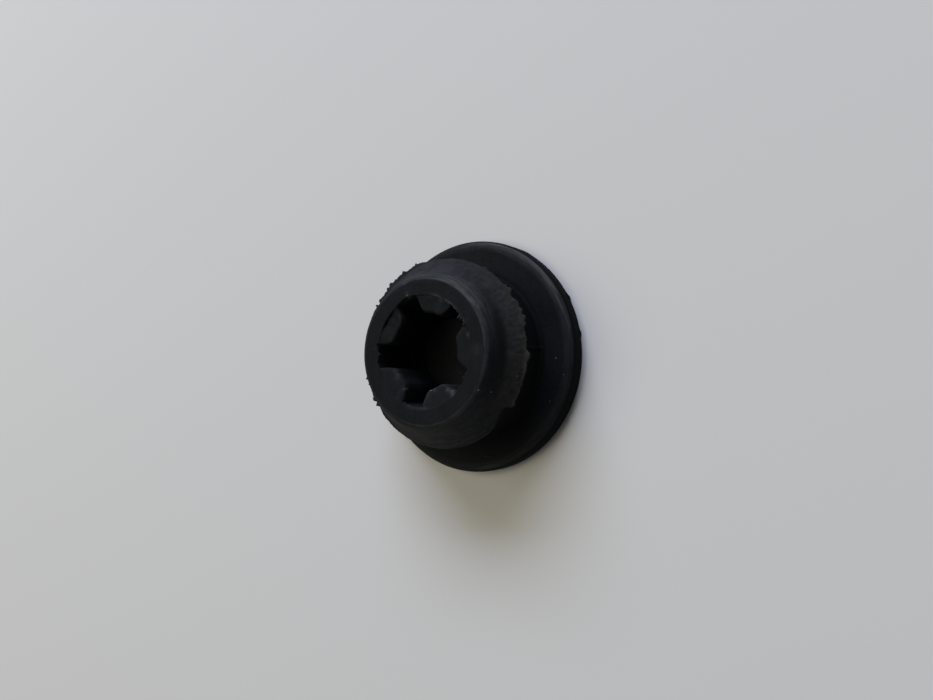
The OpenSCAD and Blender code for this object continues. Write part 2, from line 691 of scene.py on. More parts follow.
class Lathe:
    """The grid that is turned round the axis: its columns go round and its rows follow the section."""

    def __init__(self, recipe: GeometryRecipe) -> None:
        """Makes the grid and finds the row and the angle of each of its points.

        Args:
            recipe: the tree, whose starting mesh is the table of rows.
        """
        self.make, self.input = recipe.maker, recipe.input
        self.table, self.rows = recipe.input("Geometry"), recipe.input("Rows")
        columns = recipe.input("Columns")
        self.grid = self.make.node("GeometryNodeMeshGrid", {}, {
            "Size X": 1.0, "Size Y": 1.0, "Vertices X": columns + 1.0, "Vertices Y": self.rows,
        })
        index = self.make.node("GeometryNodeInputIndex")
        column = ((index + 0.5) / self.rows).maths("FLOOR")
        self.row = index - column * self.rows
        self.turn = column / columns * TAU
        self.cosine, self.sine = self.turn.maths("COSINE"), self.turn.maths("SINE")
        self.ring = self.make.vector(self.cosine, self.sine, 0.0)

    def sampled(self, value: Value, kind: str, at: Value) -> Value:
        """Reads a value of the table at one of its points.

        Args:
            value: what is read.
            kind: its data type.
            at: the point's number.

        Returns:
            The value there.
        """
        return self.make.node(
            "GeometryNodeSampleIndex", {"data_type": kind, "domain": "POINT"},
            {"Geometry": self.table, "Value": value, "Index": at},
        )

    def trait(self, which: Trait) -> Value:
        """Reads how much this row takes part in something."""
        named = self.make.node(
            "GeometryNodeInputNamedAttribute", {"data_type": "FLOAT"}, {"Name": which.value}
        )
        return self.sampled(named, "FLOAT", self.row)

    def section(self, rib: Value) -> tuple[Value, Value]:
        """Reads the half section of this row.

        Args:
            rib: how far the place is into a rib.

        Returns:
            The distance from the axis and the height.
        """
        position = self.make.node("GeometryNodeInputPosition")
        between = self.make.parts(self.sampled(position, "FLOAT_VECTOR", self.row))
        through = self.make.parts(self.sampled(position, "FLOAT_VECTOR", self.row + self.rows))
        return tuple(between[i] + (through[i] - between[i]) * rib for i in (0, 2))

    def place(self, radius: Value, height: Value) -> Value:
        """Returns the place at a distance from the axis and a height."""
        return self.make.vector(radius * self.cosine, radius * self.sine, height)

    def rough(self, rough: Rough, place: Value | None = None) -> Value:
        """Returns a roughness at a place, or round the axis where no place is given."""
        where = self.ring if place is None else place
        return (self.make.noise(where, rough.pattern) - 0.5) * rough.amount

    def frayed(self, fray: Fray) -> Value:
        """Returns an uneven share round the axis."""
        return fray.least + self.make.noise(self.ring, fray.pattern).between(*fray.step) * fray.growth

    def swell(self, nib: Nib) -> Value:
        """Returns a broad peak that stops at the +X axis."""
        return ((self.turn - math.radians(nib.angle)) / math.radians(nib.width)).bell() * nib.share

    def peak(self, nib: Nib) -> Value:
        """Raises a peak that runs on past the +X axis.

        Args:
            nib: where it stands, how wide it is and how far it reaches.

        Returns:
            The peak's share of the full reach.
        """
        off = self.turn - math.radians(nib.angle % 360) + math.pi
        off = off.maths("FLOORED_MODULO", TAU) - math.pi
        return (off / math.radians(nib.width)).bell() * nib.share

    def peaks(self, nibs: Sequence[Nib]) -> Value:
        """The outline of a row of nibs, round the axis.

        Args:
            nibs: the nibs, of which one with a negative share is a nick.

        Returns:
            The share of the full reach.
        """
        total = self.turn * 0.0
        for nib in nibs:
            peak = self.peak(nib)
            total = total + peak if nib.share < 0 else total.at_least(peak)
        return total


@dataclass
class Moulding:
    """The rubber body: flange, neck, head and the socket with its ribs."""

    flange_r: float
    full_height: float
    flange_t: float = 3.0 * MM
    flange_round: float = 1.3 * MM
    foot_round: float = 0.2 * MM
    neck_r: float = 13.3 * MM
    groove_top: float = 9.2 * MM
    root_round: float = 0.6 * MM
    lip_r: float = 14.75 * MM
    lip_rise: float = 0.7 * MM
    lip_edge: float = 0.6 * MM
    skirt_r: float = 13.05 * MM
    skirt_h: float = 2.0 * MM
    crown_r: float = 11.35 * MM
    crown_round: float = 1.1 * MM
    socket_r: float = 8.6 * MM
    mouth_round: float = 0.15 * MM
    seat_depth: float = 8.7 * MM
    seat_r: float = 5.9 * MM
    seat_round: float = 0.2 * MM
    pocket_h: float = 1.8 * MM
    ledge_w: float = 0.4 * MM
    grip_r: float = 5.8 * MM
    rib_recess: float = 0.4 * MM
    rib_lead: float = 0.5 * MM
    rib_root_round: float = 0.08 * MM
    rib_count: int = 5
    rib_turn: float = math.radians(-8.5)
    rib_half: float = math.radians(23.6)
    rib_square: float = 5.2
    # The flash, the chip, the bulge, the parting lines and the short reaches.
    flash_t: float = 0.3 * MM
    flash_reach: float = 0.9 * MM
    chip_depth: float = 1.12 * MM
    chip_turn: float = math.radians(-123.5)
    chip_steep: float = math.radians(6)
    chip_gentle: float = math.radians(17)
    chip_steep_fade: Band = Band(1.0, 0.3)
    chip_gentle_fade: Band = Band(-1.05, 0.02)
    chip_least: float = 0.9
    chip_rough: Rough = Rough(Pattern(30.0, 3.0, 0.7), 0.3)
    bulge: float = 0.24 * MM
    bulge_side: Nib = Nib(88, 48, 1.0)
    seam_reach: float = 0.28 * MM
    seam_half: float = math.radians(0.9)
    seam_turn: float = math.radians(-81.5)
    foot_reach: float = 0.42 * MM
    rib_cut: float = 0.3 * MM
    dust_room: float = 0.04 * MM
    # The ragged mouth.
    rag_reach: float = 0.9 * MM
    rag_fray: Fray = Fray(Pattern(40.0), Band(0.3, 0.7), 0.75, 0.4)
    # The flash's teeth, its fine fringe, what is kept beyond the full reach, and how it droops.
    teeth: Fray = Fray(Pattern(26.0, 3.0, 0.7), Band(0.3, 0.7), 0.84, 0.3)
    fringe: Fray = Fray(Pattern(9.0, 2.0, 0.6), Band(0.45, 0.8), 0.0, 0.07)
    overshoot: float = 0.6
    droop_rough: Rough = Rough(Pattern(3.1, 3.0), 0.6 * MM)
    flash_sag: float = 0.012 * MM
    # The ribs' uneven edges.
    rib_bend: Rough = Rough(Pattern(4.0, 3.0, 0.6), 0.11)
    rib_rough: Rough = Rough(Pattern(13.0, 3.0, 0.6), 1.0 * MM)
    rib_rough_least: float = 0.12
    rib_rough_side: Nib = Nib(348, 20, 0.8)
    rib_shoulder: Band = Band(0.0, 0.3)
    rib_body: Band = Band(0.1, 0.8)
    # The torn surface, and how uneven the rest is.
    tear_rough: Rough = Rough(Pattern(1.7, 4.0, 0.65), 0.22 * MM)
    tear_streaks: Rough = Rough(Pattern(1.5, 3.0, 0.6), 0.34 * MM)
    streak_stretch: Triple = (1.0, 1.0, 0.25)
    plain_rough: Rough = Rough(Pattern(1.7, 4.0, 0.65), 0.02 * MM)
    waver: Rough = Rough(Pattern(0.16), 0.12 * MM)
    # Where the torn side starts and ends, in degrees, and how strongly it shows in the colour.
    tear_start: Band = Band(222, 246)
    tear_end: Band = Band(340, 302)
    tear_shown: float = 1.05
    flash_shown: float = 0.2
    # Distances from the axis and heights, in millimetres, between which something fades.
    off_axis: Band = Band(0.3, 2.0)
    off_floor: Band = Band(0.05, 0.8)
    near_top: Band = Band(15.0, 15.45)
    near_top_calm: float = 0.8
    near_rim: Band = Band(17.8, 18.9)
    mouth_band: Band = Band(13.8, 14.6)
    flank_foot: Band = Band(11.9, 13.0)
    head_foot: Band = Band(10.0, 10.9)
    flank_end: Band = Band(14.9, 15.3)
    # How worn the edges and the flank are round the axis: a little wear all round, a painted highlight
    # peaking on the side that faces the window lamp, and painted light on the edge and the head towards
    # -X.
    edge_least: float = 0.06
    window_side_highlight: Nib = Nib(329, 39, 1.1)
    minus_x_edge_light: Nib = Nib(200, 36, 0.36)
    minus_x_flank_light: Nib = Nib(190, 40, 0.45)
    # How dusty and how torn each stretch of the section is; the head's large bloom share, which makes
    # its flank paler than the top face, and the seat's are partly painted light.
    foot_share: float = 0.2
    floor_film: float = 0.3
    flash_film: float = 0.8
    head_film: float = 0.9
    top_film: float = 0.34
    socket_film: float = 0.36
    seat_film: float = 0.5
    skirt_torn: float = 0.95
    skirt_torn_loss: float = 0.5
    waist_torn: float = 0.3
    waist_chip: float = 0.6
    flank_torn: float = 0.12
    edge_calm: float = 0.1
    notch_loss: float = 0.5
    # How far a rib's top is lifted towards the top face: at its root, what it loses by the lead-in,
    # and on the tip, where the lift and the uneven edge fade in steps.
    lift_root: float = 0.97
    lift_loss: float = 0.62
    lift_tip: float = 0.35
    tip_share: float = 0.66
    tip_step: float = 0.33
    tip_gap: float = 0.03 * MM
    welded: float = 1e-7
    columns: int = 720
    nibs: tuple[Nib, ...] = (
        Nib(-115.8, 2.2, 0.64), Nib(-110, 6, 0.38), Nib(-102, 8, 0.34), Nib(-94, 6.5, 0.6),
        Nib(-87.5, 4, 0.95), Nib(-81.5, 2.4, -0.6), Nib(-77, 9, 0.28), Nib(-70, 1.7, 0.8),
        Nib(-66.5, 2.6, 1.05), Nib(-62, 3, 0.85), Nib(-57, 3.6, 0.64), Nib(-48, 2.6, 0.75),
        Nib(-44.5, 1.5, 0.42), Nib(-33, 1.6, 0.22), Nib(-27, 1.8, 0.36), Nib(-10, 16, 0.06),
        Nib(27, 9, 0.66), Nib(25.6, 1.6, 0.98), Nib(43, 16, 0.82), Nib(35.4, 2.2, 1.12),
        Nib(47.3, 2.4, 1.35), Nib(50.6, 1.8, 1.12), Nib(57, 9, 0.92), Nib(59.6, 2.0, 1.3),
        Nib(71, 12, 1.15), Nib(63.6, 1.3, 1.35), Nib(90, 20, 0.6), Nib(109.4, 1.5, 1.45),
        Nib(113.4, 1.2, 1.0), Nib(118, 10, 0.64), Nib(123.5, 2.2, 1.2), Nib(127.6, 2.0, 0.86),
        Nib(136, 9, 0.42), Nib(146, 9, 0.28), Nib(160, 9, 0.14),
    )
    rags: tuple[Nib, ...] = (
        Nib(-125, 3, 0.12), Nib(-112.5, 1.5, 0.55), Nib(-108, 2, 0.3), Nib(-66, 2.2, 0.3),
        Nib(-58, 1.8, 0.62), Nib(-54.5, 1.0, 0.3), Nib(-51, 1.3, 0.6), Nib(-48, 1.6, 0.85),
        Nib(-43, 2.0, 0.3), Nib(-38, 3, 0.24), Nib(-22, 12, 0.2), Nib(97, 2.0, 0.6),
        Nib(102, 2.2, 0.3), Nib(163, 3, 0.5), Nib(169, 2.2, 0.35), Nib(-175, 3.5, 0.35),
    )
    cracks: tuple[Nib, ...] = (
        Nib(53, 6, 1.0), Nib(62, 7, 1.0), Nib(-27, 8, 0.8), Nib(-13, 9, 0.9), Nib(-164, 5, 0.4),
        Nib(148, 4, 0.35),
    )
    # Pale flakes along the mouth, partly flaked flash and partly painted glints on the lit mouth edge.
    flakes_and_glints: tuple[Nib, ...] = (
        Nib(-31, 12, 1.6), Nib(-13, 9, 1.4), Nib(-69, 3, 1.5), Nib(-54, 3, 1.2), Nib(-133, 3, 0.8),
        Nib(-175, 5, 1.0), Nib(172, 5, 0.5), Nib(-48, 2, 0.9), Nib(23, 2, 0.7),
    )
    short_ribs: tuple[Nib, ...] = (Nib(-80, 22, 0.8), Nib(-12, 16, 0.35), Nib(63, 18, 0.5))
    foot_nibs: tuple[Nib, ...] = (Nib(-57, 1.8, 0.4), Nib(-75, 1.4, 0.4), Nib(-24, 4, 0.2))
    notches: tuple[Nib, ...] = (
        Nib(27, 11, 0.34), Nib(86, 3.5, 0.42), Nib(-63, 2, 0.2), Nib(104, 4, 0.2),
    )
    # Bloom share raised on the side that faces the window lamp, as painted light, and on the flank
    # raised towards -X as painted light and lowered on the -Y side as painted shade.
    bloom_and_light: tuple[Nib, ...] = (Nib(-8, 44, 0.38),)
    flank_light_and_shade: tuple[Nib, ...] = (Nib(-168, 42, 0.85), Nib(-80, 34, -0.95))
    # Pale spots near the mouth: some are rubbed rubber, and those on the lit rib tips and edges are
    # painted glints.
    rubbed_and_glinting: tuple[Patch, ...] = (
        Patch(8.0 * MM, -132.5, 0.45 * MM, 0.8), Patch(7.3 * MM, -135.5, 0.35 * MM, 0.7),
        Patch(6.1 * MM, -154, 0.3 * MM, 0.6), Patch(6.0 * MM, 122, 0.5 * MM, 0.55),
        Patch(5.9 * MM, 132, 0.55 * MM, 0.6), Patch(6.6 * MM, 154, 0.3 * MM, 0.9),
        Patch(7.2 * MM, 44, 0.3 * MM, 0.35), Patch(9.3 * MM, 24, 0.3 * MM, 0.5),
        Patch(11.1 * MM, 24, 0.25 * MM, 0.5), Patch(8.2 * MM, 110, 0.4 * MM, 0.4),
        Patch(11.4 * MM, -115, 0.5 * MM, 0.3), Patch(9.9 * MM, -84, 0.8 * MM, 0.22),
    )

    # The flash's rows: millimetres above its underside or its top, share of the reach, torn share.
    FLASH_UNDER = (
        (-0.12, 0.0, 0.4), (0.0, 0.12, 0.6), (0.02, 0.45, 0.8), (0.06, 0.8, 0.9), (0.11, 1.0, 1.0),
    )
    FLASH_OVER = (
        (-0.09, 1.0, 1.0), (-0.04, 0.8, 1.0), (-0.01, 0.45, 1.0), (0.0, 0.12, 1.0), (0.03, 0.0, 0.95),
    )
    # How worn, dusty, ragged or flaked one row after another is, from the outside in; the edge wear up
    # the flank and round the crown is partly a painted highlight, its bloom partly painted light, and
    # the flakes partly painted glints.
    FLANK_WEAR_AND_HIGHLIGHT = (0.0, 0.0, 0.15, 0.4, 0.5)
    EDGE_WEAR_AND_HIGHLIGHT = (0.65, 0.8, 0.95, 1.0, 0.9, 1.0, 1.0, 0.1, 0.0)
    EDGE_BLOOM_AND_LIGHT = (0.9, 0.9, 0.9, 0.9, 0.9, 0.85, 0.8, 0.4, 0.34)
    TOP_BULGE = (0.7, 0.4, 0.1, 0.0, 0.0, 0.0)
    TOP_NOTCH = (0.0, 0.0, 0.0, 0.0, 0.0, 0.45)
    MOUTH_RAG = (0.05, 0.5, 1.0, 1.0, 0.5, 0.1, 0.0)
    MOUTH_FLAKE_AND_GLINT = (0.2, 0.6, 1.0, 1.0, 1.0, 0.9, 0.9)
    ROOT_FLAKE_AND_GLINT = (0.9, 1.0, 1.0, 0.4)

    @property
    def height(self) -> float:
        """Height of the top face, which leaves a little room for the dust on it."""
        return self.full_height - self.dust_room

    def outside(self) -> list[Row]:
        """Rows from the middle of the underside out round the flange and up to the lip.

        Returns:
            The rows, which are the same between ribs and through them.
        """
        foot, edge, root = self.foot_round, self.flange_round, self.root_round
        rim, neck, floor, roof = self.flange_r, self.neck_r, self.flange_t, self.groove_top
        shoulder = (rim - edge, floor - edge)
        runs: list[tuple[list[Point], dict[Trait, float]]] = [
            ([(0.0, 0.0)] + line((0, 0), (rim - foot, 0), 3), {}),
            (arc((rim - foot, foot), foot, -90, 0, 4), {Trait.FOOT: 1.0}),
            (line((rim, foot), (rim, floor - edge), 2), {Trait.FOOT: self.foot_share}),
            # Round the flange's upper edge the lower rows take almost no bloom, as painted shade on the
            # side wall, and the upper rows take the edge wear as a painted highlight.
            (arc(shoulder, edge, 0, 33, 3), {Trait.FILM: 0.02}),
            (arc(shoulder, edge, 44, 70, 4), {Trait.FILM: 0.4, Trait.EDGE: 1.0}),
            (arc(shoulder, edge, 79, 90, 2), {Trait.FILM: 0.6, Trait.EDGE: 0.2}),
            (line((rim - edge, floor), (neck + root, floor), 6), {Trait.FILM: self.floor_film}),
            # The neck and its root take no bloom and stay at the rubber's darkest colour, as painted
            # shade under the head.
            (arc((neck + root, floor + root), root, 270, 180, 6), {Trait.SEAM: 0.7}),
            (line((neck, floor + root), (neck, roof - root), 4), {Trait.SEAM: 1.0}),
            (arc((neck + root, roof - root), root, 180, 105, 4), {Trait.SEAM: 0.6}),
        ]
        return [Row(p, p, dict(traits)) for points, traits in runs for p in points]

    def lip(self) -> list[Row]:
        """Rows round the lip, out along the underside of the flash and back along its top.

        Returns:
            The rows, with the share of the flash's reach that each one takes.
        """
        bottom = self.groove_top + self.lip_rise
        top = bottom + self.lip_edge
        edge = self.lip_r
        under = line((self.neck_r + self.root_round, self.groove_top), (edge, bottom), 3)
        rows = [Row(p, p, {Trait.CHIP: 1.0}) for p in under]
        root = top - self.flash_t
        stations = [(bottom, 0.0, 0.2)]
        stations += [(root + off * MM, share, torn) for off, share, torn in self.FLASH_UNDER]
        stations += [(top + off * MM, share, torn) for off, share, torn in self.FLASH_OVER]
        for z, share, torn in stations:
            traits = {Trait.FLASH: share, Trait.TORN: torn, Trait.FILM: self.flash_film}
            rows.append(Row((edge, z), (edge, z), {Trait.CHIP: 1.0, **traits}))
        return rows

    def head(self) -> list[Row]:
        """Rows up the skirt and the crown and in across the flat top to the mouth.

        Returns:
            The rows, whose torn share fades up the skirt.
        """
        lip_top = self.groove_top + self.lip_rise + self.lip_edge
        skirt_top = lip_top + self.skirt_h
        start, waist = (self.lip_r, lip_top), (self.skirt_r, skirt_top)
        rows: list[Row] = []
        for p in line(start, waist, 10):
            torn = self.skirt_torn - self.skirt_torn_loss * (p[1] - lip_top) / self.skirt_h
            rows.append(Row(p, p, {Trait.CHIP: 1.0, Trait.TORN: torn, Trait.FILM: self.head_film}))
        slope = math.degrees(math.atan2(self.height - skirt_top, self.skirt_r - self.crown_r))
        inset = self.crown_round * math.tan(math.radians(slope / 2))
        centre = (self.crown_r - inset, self.height - self.crown_round)
        rounding = arc(centre, self.crown_round, 90 - slope, 90, 9)
        rows.append(Row(waist, waist, {
            Trait.TORN: self.waist_torn, Trait.CHIP: self.waist_chip, Trait.FILM: self.head_film,
        }))
        flank = line(waist, rounding[0], 5)
        # Up the flank the edge wear begins, as a painted highlight running into the crown's rounding.
        for i, (p, edge) in enumerate(zip(flank, self.FLANK_WEAR_AND_HIGHLIGHT)):
            share = (i + 1) / len(flank)
            rows.append(Row(p, p, {
                Trait.TORN: self.flank_torn * (1 - share), Trait.FILM: self.head_film,
                Trait.BULGE: share, Trait.EDGE: edge,
            }))
        # The crown's rounding takes the most edge wear, partly a painted highlight, and much bloom,
        # partly painted light.
        for p, edge, film in zip(rounding, self.EDGE_WEAR_AND_HIGHLIGHT, self.EDGE_BLOOM_AND_LIGHT):
            bulge = 1.0 - self.edge_calm * edge
            rows.append(Row(p, p, {Trait.EDGE: edge, Trait.FILM: film, Trait.BULGE: bulge}))
        mouth = (self.socket_r + self.mouth_round, self.height)
        for p, bulge, notch in zip(line(rounding[-1], mouth, 6), self.TOP_BULGE, self.TOP_NOTCH):
            rows.append(Row(p, p, {
                Trait.FILM: self.top_film, Trait.BULGE: bulge, Trait.NOTCH: notch,
            }))
        return rows

    def socket(self) -> list[Row]:
        """Rows from the mouth down the socket to the middle of the seat.

        Returns:
            The rows, which differ between ribs and through them.
        """
        wall, grip = self.socket_r, self.grip_r
        seat_z = self.height - self.seat_depth
        pocket_z = seat_z - self.pocket_h
        rib_top = self.height - self.rib_recess
        recess = self.rib_recess / MM
        film = {Trait.FILM: self.socket_film}
        centre = (wall + self.mouth_round, self.height - self.mouth_round)
        mouth = arc(centre, self.mouth_round, 90, 180, 5)
        shelf = line(mouth[-1], (wall, rib_top + self.rib_root_round), 2)
        rows: list[Row] = []
        # The mouth's rows take flakes, partly flaked flash and partly painted glints on the lit edge.
        for p, rag, flake_and_glint in zip(mouth + shelf, self.MOUTH_RAG, self.MOUTH_FLAKE_AND_GLINT):
            depth = (self.height - p[1]) / MM
            rows.append(Row(p, p, {
                Trait.RAG: rag, Trait.FLAKE: flake_and_glint, Trait.LIFT: depth,
                Trait.NOTCH: 1.0 - self.notch_loss * depth, **film,
            }))

        centre = (wall - self.rib_root_round, rib_top + self.rib_root_round)
        root = arc(centre, self.rib_root_round, 0, -90, 3)
        tip = arc((grip + self.rib_lead, rib_top - self.rib_lead), self.rib_lead, 90, 180, 8)
        land = root + line(root[-1], tip[0], 6)
        over = land + tip
        beside = line((wall, rib_top + self.rib_root_round), (wall, rib_top - self.rib_lead), len(over))
        for i, (a, b) in enumerate(zip(beside, over)):
            inward = min(1.0, i / len(land))
            depth = min(recess, (self.height - b[1]) / MM)
            lift = max(0.0, self.lift_root * depth - self.lift_loss * recess * inward)
            # The first rows of a rib's top take flakes too, partly painted glints.
            flake_and_glint = self.ROOT_FLAKE_AND_GLINT[i] if i < len(self.ROOT_FLAKE_AND_GLINT) else 0.0
            traits = {Trait.LIFT: lift, Trait.RIB_EDGE: inward, Trait.FLAKE: flake_and_glint, **film}
            rows.append(Row(a, b, traits))

        down_wall = line(beside[-1], (wall, seat_z), 7) + [(wall, seat_z)]
        down_tip = line(tip[-1], (grip, seat_z + self.tip_gap), 8)
        for i, (a, b) in enumerate(zip(down_wall, down_tip)):
            fading = max(0.0, self.tip_share - self.tip_step * i)
            lift = recess * self.lift_tip * fading
            rows.append(Row(a, b, {Trait.LIFT: lift, Trait.RIB_EDGE: fading}))

        inner = wall - self.ledge_w
        pocket = (
            line((wall, seat_z), (inner, seat_z), 1) + [(inner, seat_z)]
            + line((inner, seat_z), (inner, pocket_z), 2) + [(inner, pocket_z)]
            + line((inner, pocket_z), (self.seat_r, pocket_z), 2) + [(self.seat_r, pocket_z)]
            + line((self.seat_r, pocket_z), (self.seat_r, seat_z - self.seat_round), 2)
        )
        tuck = line((grip, seat_z + self.tip_gap), (grip, seat_z), len(pocket))
        # The pockets take no bloom and stay at the darkest colour, as painted shade.
        rows += [Row(a, b, {}) for a, b in zip(pocket, tuck)]
        rim = arc((self.seat_r - self.seat_round, seat_z - self.seat_round), self.seat_round, 0, 90, 4)
        inside = line((grip, seat_z), (grip - self.seat_round, seat_z), len(rim))
        centre = (0.0, seat_z)
        seat = rim + line(rim[-1], centre, 4) + [centre]
        below = inside + line(inside[-1], centre, 4) + [centre]
        # The seat takes a larger bloom share, partly painted light.
        return rows + [Row(a, b, {Trait.FILM: self.seat_film}) for a, b in zip(seat, below)]

    def table(self) -> tuple[bpy.types.Mesh, int]:
        """Lays every row down as two points: first all between ribs, then all through them.

        Returns:
            A mesh of loose points with each trait as an attribute, and the number of rows.
        """
        rows = self.outside() + self.lip() + self.head() + self.socket()
        along, last = 0.0, rows[0].between
        for row in rows:
            along += math.dist(last, row.between) / MM
            last = row.between
            row.traits[Trait.ALONG] = along
        points = [(p[0], 0.0, p[1]) for p in [r.between for r in rows] + [r.through for r in rows]]
        mesh = bpy.data.meshes.new("section_rows")
        mesh.from_pydata(points, [], [])
        for trait in Trait:
            layer = mesh.attributes.new(trait.value, "FLOAT", "POINT")
            shares = [r.traits.get(trait, 0.0) for r in rows] * 2
            layer.data.foreach_set("value", shares)
        return mesh, len(rows)

    def build(self, finish: bpy.types.Material) -> bpy.types.Object:
        """Turns the section round the axis, with everything that changes on the way.

        Args:
            finish: the rubber.

        Returns:
            The moulding as one closed mesh.
        """
        start, row_count = self.table()
        recipe = GeometryRecipe("moulding", {
            "Columns": self.columns,
            "Rows": row_count,
            "Rib count": self.rib_count,
            "Rib turn": self.rib_turn,
            "Rib half angle": self.rib_half,
            "Rib squareness": self.rib_square,
            "Lip radius": self.lip_r,
            "Flash reach": self.flash_reach,
            "Chip depth": self.chip_depth,
            "Bulge": self.bulge,
            "Seam reach": self.seam_reach,
            "Rag reach": self.rag_reach,
            "Rib cut": self.rib_cut,
            "Foot reach": self.foot_reach,
            "Finish": finish,
        })
        self.lay_tree(recipe)
        return recipe.run(start)

    def lay_tree(self, recipe: GeometryRecipe) -> None:
        """Writes the geometry tree: the section turned round the axis, then roughened and marked.

        Args:
            recipe: the empty tree with its inputs.
        """
        lathe, make = Lathe(recipe), recipe.maker
        flash = self.flash_share(lathe)
        radius, height = self.turned(lathe, flash)
        tear = self.torn_side(lathe) * lathe.trait(Trait.TORN)
        moved = self.roughened(lathe, radius, height, tear)
        shaped = make.node("GeometryNodeSetPosition", {}, {"Geometry": lathe.grid, "Position": moved})
        marks = self.marks(lathe, radius, height, tear, flash)
        stored = [(mark.value, "FLOAT", value) for mark, value in marks.items()]
        flow = make.vector(lathe.cosine, lathe.sine, lathe.trait(Trait.ALONG))
        for name, kind, value in stored + [("flow", "FLOAT_VECTOR", flow)]:
            shaped = make.node(
                "GeometryNodeStoreNamedAttribute", {"data_type": kind, "domain": "POINT"},
                {"Geometry": shaped, "Name": name, "Value": value},
            )
        closed = make.node(
            "GeometryNodeMergeByDistance", {}, {"Geometry": shaped, "Distance": self.welded}
        )
        recipe.close(make.node("GeometryNodeSetShadeSmooth", {}, {"Geometry": closed}))

    def turned(self, lathe: Lathe, flash: Value) -> tuple[Value, Value]:
        """Turns the section, with the ribs, flash, chip, seams and ragged edges on the way.

        Args:
            lathe: the grid.
            flash: how far the flash stands out.

        Returns:
            Each point's distance from the axis and its height.
        """
        rib = self.rib_share(lathe)
        radius, height = lathe.section(rib)
        cap = lathe.input("Lip radius") - self.chip_share(lathe) * lathe.input("Chip depth")
        radius = radius + lathe.trait(Trait.CHIP) * (radius.at_most(cap) - radius)
        ragged = lathe.frayed(self.rag_fray)
        for which, share, reach in (
            (Trait.FLASH, flash, "Flash reach"),
            (Trait.SEAM, self.seams(lathe), "Seam reach"),
            (Trait.NOTCH, lathe.peaks(self.notches) * ragged, "Rag reach"),
            (Trait.RAG, -(lathe.peaks(self.rags) * ragged), "Rag reach"),
            (Trait.BULGE, lathe.swell(self.bulge_side), "Bulge"),
            (Trait.RIB_EDGE, lathe.peaks(self.short_ribs) * rib, "Rib cut"),
            (Trait.FOOT, lathe.peaks(self.foot_nibs), "Foot reach"),
        ):
            radius = radius + lathe.trait(which) * share * lathe.input(reach)
        whole = 1.0 - lathe.peaks(self.cracks).clamped()
        height = height + lathe.trait(Trait.LIFT) * whole * rib.between(*self.rib_shoulder) * MM
        worse = lathe.swell(self.rib_rough_side) + self.rib_rough_least
        worse = worse * lathe.trait(Trait.RIB_EDGE) * rib.between(*self.rib_body)
        return radius + lathe.rough(self.rib_rough) * worse, height

    def roughened(self, lathe: Lathe, radius: Value, height: Value, tear: Value) -> Value:
        """Makes the surface uneven, most of all where it tore, and lets the flash droop.

        Args:
            lathe: the grid.
            radius: each point's distance from the axis.
            height: its height.
            tear: how torn it is.

        Returns:
            Where each point ends up.
        """
        in_mm = lathe.make.in_mm(lathe.place(radius, height))
        drawn = lathe.make.stretched(in_mm, self.streak_stretch)
        swell = (lathe.rough(self.tear_rough, in_mm) + lathe.rough(self.tear_streaks, drawn)) * tear
        swell = swell + lathe.rough(self.plain_rough, in_mm) + lathe.rough(self.waver, in_mm)
        calm = 1.0 - (height / MM).between(*self.near_top) * self.near_top_calm
        free = (radius / MM).between(*self.off_axis) * (height / MM).between(*self.off_floor) * calm
        free = free * (1.0 - (radius / MM).between(*self.near_rim))
        droop = (lathe.rough(self.droop_rough) - self.flash_sag) * lathe.trait(Trait.FLASH)
        return lathe.place(radius + swell * free, height + droop)

    def marks(
        self, lathe: Lathe, radius: Value, height: Value, tear: Value, flash: Value
    ) -> dict[Mark, Value]:
        """Works out what the finish needs to know about the surface, with painted highlights in the wear
        and painted light and shade in the bloom.

        Args:
            lathe: the grid.
            radius: each point's distance from the axis.
            height: its height.
            tear: how torn it is.
            flash: how far the flash stands out there.

        Returns:
            The marks.
        """
        torn = tear * self.tear_shown + lathe.trait(Trait.TORN) * flash * self.flash_shown
        # Edge wear round the axis: a little all round as real wear, a painted highlight on the side
        # facing the window lamp, and painted light towards -X; flakes at the mouth add painted glints.
        edge = lathe.peak(self.window_side_highlight) + self.edge_least + lathe.swell(self.minus_x_edge_light)
        wear_and_highlight = lathe.trait(Trait.EDGE) * edge + lathe.trait(Trait.FLAKE) * lathe.peaks(self.flakes_and_glints)
        wear_and_highlight = wear_and_highlight.at_least(self.rubbed_and_glint_share(lathe, radius, height))
        below_top = 1.0 - (height / MM).between(*self.flank_end)
        flank = (height / MM).between(*self.flank_foot) * below_top
        head = (height / MM).between(*self.head_foot) * below_top
        # The head towards -X takes the wear colour as painted light.
        wear_and_highlight = wear_and_highlight.at_least(lathe.swell(self.minus_x_flank_light) * head)
        # The bloom share is raised on the side facing the window lamp and on the flank towards -X, as
        # painted light, and lowered on the flank's -Y side, as painted shade.
        film = 1.0 + lathe.peaks(self.bloom_and_light) + lathe.peaks(self.flank_light_and_shade) * flank
        return {Mark.TORN: torn.clamped(), Mark.WORN: wear_and_highlight, Mark.FILM: lathe.trait(Trait.FILM) * film}

    def seams(self, lathe: Lathe) -> Value:
        """How far the two parting lines stand out, round the neck.

        Args:
            lathe: the grid.

        Returns:
            1 on the ridge of either line and 0 away from them.
        """
        near = (lathe.turn - self.seam_turn % TAU) / self.seam_half
        far = (lathe.turn - (self.seam_turn + math.pi)) / self.seam_half
        return near.bell() + far.bell()

